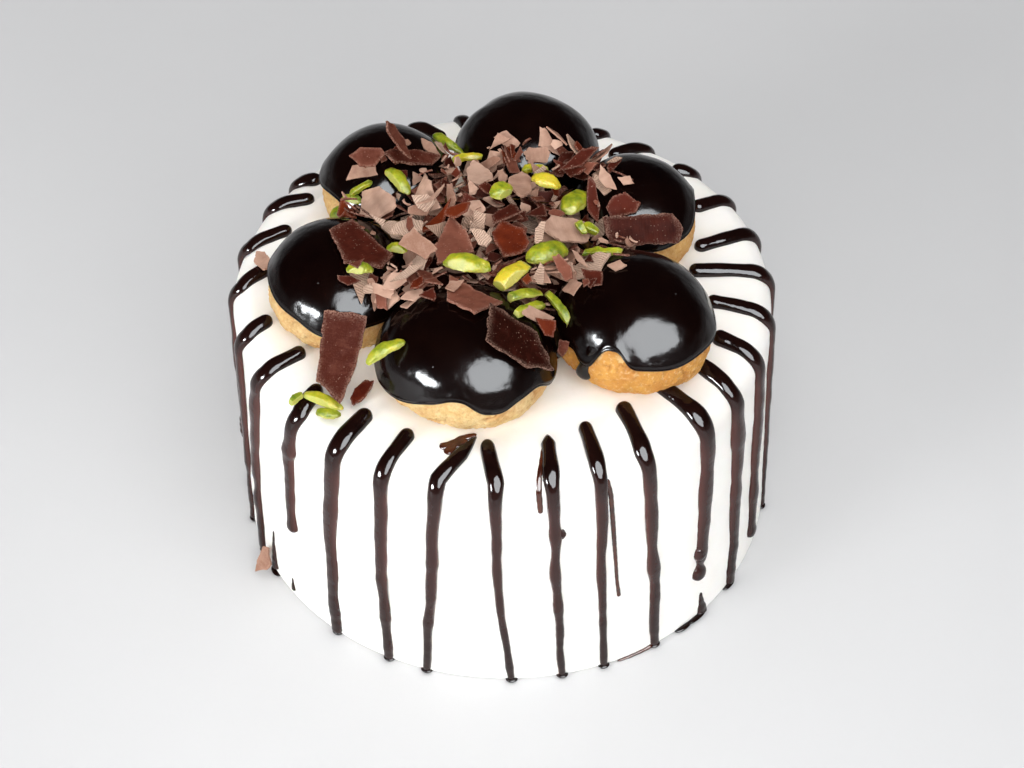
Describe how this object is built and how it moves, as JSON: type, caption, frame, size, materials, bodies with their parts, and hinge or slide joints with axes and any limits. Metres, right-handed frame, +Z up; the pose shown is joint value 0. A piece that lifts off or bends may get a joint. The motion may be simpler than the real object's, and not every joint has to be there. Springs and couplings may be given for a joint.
{
  "type": "profiterole cake",
  "caption": "Round white cream cake topped with a ring of chocolate-glazed choux buns round a heap of chocolate shavings and pistachios, with chocolate poured down the side.",
  "frame": {"origin": "centre of the cake's flat underside, where it rests", "axes": "+Z up through the cake, -Y towards the side that the picture shows"},
  "size_m": [0.1835, 0.184, 0.1412],
  "materials": {
    "cream": "soft whipped cream smoothed with a spatula",
    "drizzle": "glossy poured dark chocolate",
    "choux": "baked golden crust, finely cracked",
    "glaze": "mirror-like dark chocolate glaze",
    "dark_chocolate": "broken dark chocolate with a dusty bloom",
    "milk_chocolate": "scraped milk chocolate, satin",
    "pistachio": "waxy nut flesh with shreds of skin"
  },
  "bodies": {
    "root": {"cream_cake": "cream", "choux_front": "choux", "glaze_front": "glaze", "choux_right": "choux", "glaze_right": "glaze", "choux_back_right": "choux", "glaze_back_right": "glaze", "choux_back": "choux", "glaze_back": "glaze", "choux_back_left": "choux", "glaze_back_left": "glaze", "choux_left": "choux", "glaze_left": "glaze", "shaving_leaning": "milk_chocolate", "shaving_front_leaf": "dark_chocolate", "shaving_right_slab": "dark_chocolate", "shaving_left_slab": "dark_chocolate", "shaving_front_slab": "milk_chocolate", "shaving_middle_slab": "dark_chocolate", "shaving_back_left_red": "dark_chocolate", "shaving_upright": "dark_chocolate", "shaving_pale_far": "milk_chocolate", "shaving_pale_near_middle": "milk_chocolate", "shaving_red_middle": "dark_chocolate", "shaving_ribbed_right": "milk_chocolate", "shaving_right_point": "dark_chocolate", "shaving_left_pale": "milk_chocolate", "shaving_left_ribbed": "milk_chocolate", "shaving_far_tip": "milk_chocolate", "shaving_on_cream_red": "dark_chocolate", "shaving_on_cream_pale": "milk_chocolate", "shaving_at_foot": "milk_chocolate", "pistachio_01": "pistachio", "pistachio_02": "pistachio", "pistachio_03": "pistachio", "pistachio_04": "pistachio", "pistachio_05": "pistachio", "pistachio_06": "pistachio", "pistachio_07": "pistachio", "pistachio_08": "pistachio", "pistachio_09": "pistachio", "pistachio_10": "pistachio", "pistachio_11": "pistachio", "pistachio_12": "pistachio", "pistachio_13": "pistachio", "pistachio_14": "pistachio", "pistachio_15": "pistachio", "pistachio_16": "pistachio", "pistachio_17": "pistachio", "pistachio_18": "pistachio", "pistachio_19": "pistachio", "pistachio_20": "pistachio", "pistachio_21": "pistachio", "pistachio_22": "pistachio", "pistachio_23": "pistachio", "pistachio_24": "pistachio", "pistachio_25": "pistachio", "shavings_heap": "milk_chocolate"}
  },
  "joints": []
}
